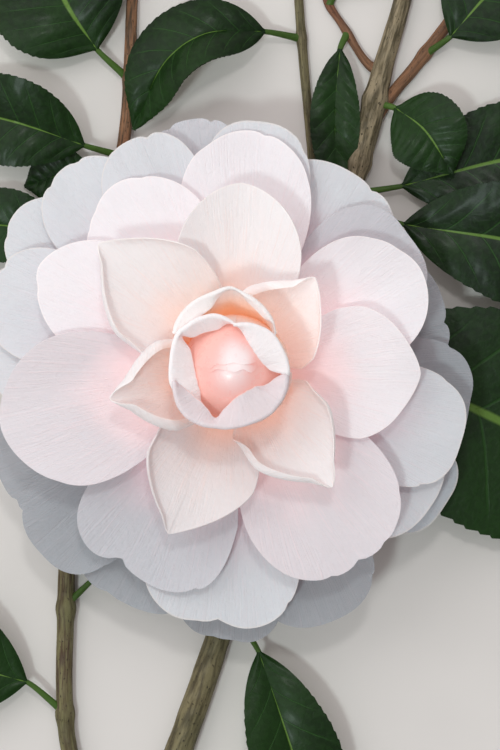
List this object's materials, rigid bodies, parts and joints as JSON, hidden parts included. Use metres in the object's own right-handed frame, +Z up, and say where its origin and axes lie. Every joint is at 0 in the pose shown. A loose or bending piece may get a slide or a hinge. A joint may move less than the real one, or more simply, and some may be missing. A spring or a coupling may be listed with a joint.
{
  "type": "cut camellia branch with bloom",
  "caption": "Cut, forked camellia branch lying flat, with one open formal double bloom of pale pink petals facing up, and glossy leaves.",
  "frame": {"origin": "middle of the branch's box at its underside, on the surface that it lies on", "axes": "+Y along the branch from the cut end to the growing tips, +Z up, out of the face of the bloom, +X to the right of the bloom"},
  "size_m": [0.1788, 0.2152, 0.0506],
  "materials": {
    "petal": "satin, soft and translucent",
    "bud_petal": "satin, soft and translucent",
    "calyx": "matt",
    "bark": "rough bark",
    "young_bark": "smooth bark",
    "leaf": "glossy"
  },
  "bodies": {
    "root": {"calyx": "calyx", "bud": "bud_petal", "petal_cup_top": "petal", "petal_star_1": "petal", "petal_star_2": "petal", "petal_star_3": "petal", "petal_star_4": "petal", "petal_star_5": "petal", "petal_star_6": "petal", "petal_second_1": "petal", "petal_second_2": "petal", "petal_second_3": "petal", "petal_second_4": "petal", "petal_second_5": "petal", "petal_second_6": "petal", "petal_second_7": "petal", "petal_third_1": "petal", "petal_third_2": "petal", "petal_third_3": "petal", "petal_third_4": "petal", "petal_third_5": "petal", "petal_third_6": "petal", "petal_third_7": "petal", "petal_third_8": "petal", "petal_third_9": "petal", "petal_third_10": "petal", "petal_third_11": "petal", "petal_third_12": "petal", "petal_third_13": "petal", "petal_outer_1": "petal", "petal_outer_2": "petal", "petal_outer_3": "petal", "petal_outer_4": "petal", "petal_outer_5": "petal", "petal_outer_6": "petal", "petal_outer_7": "petal", "petal_outer_8": "petal", "petal_outer_9": "petal", "stem_main": "bark", "stem_left": "bark", "stem_side_branch": "young_bark", "stem_mid_twig": "bark", "stem_short_twig": "bark", "stem_flower": "bark", "leaf_right_upper": "leaf", "leaf_right_lower": "leaf", "leaf_right_back": "leaf", "leaf_side_branch": "leaf", "leaf_main_inner": "leaf", "leaf_between": "leaf", "leaf_short_twig": "leaf", "leaf_top_arching": "leaf", "leaf_left_upper": "leaf", "leaf_left_long": "leaf", "leaf_left_small": "leaf", "leaf_left_edge": "leaf", "leaf_low_left": "leaf", "leaf_low_right": "leaf", "leaf_under_bloom": "leaf"}
  },
  "joints": []
}
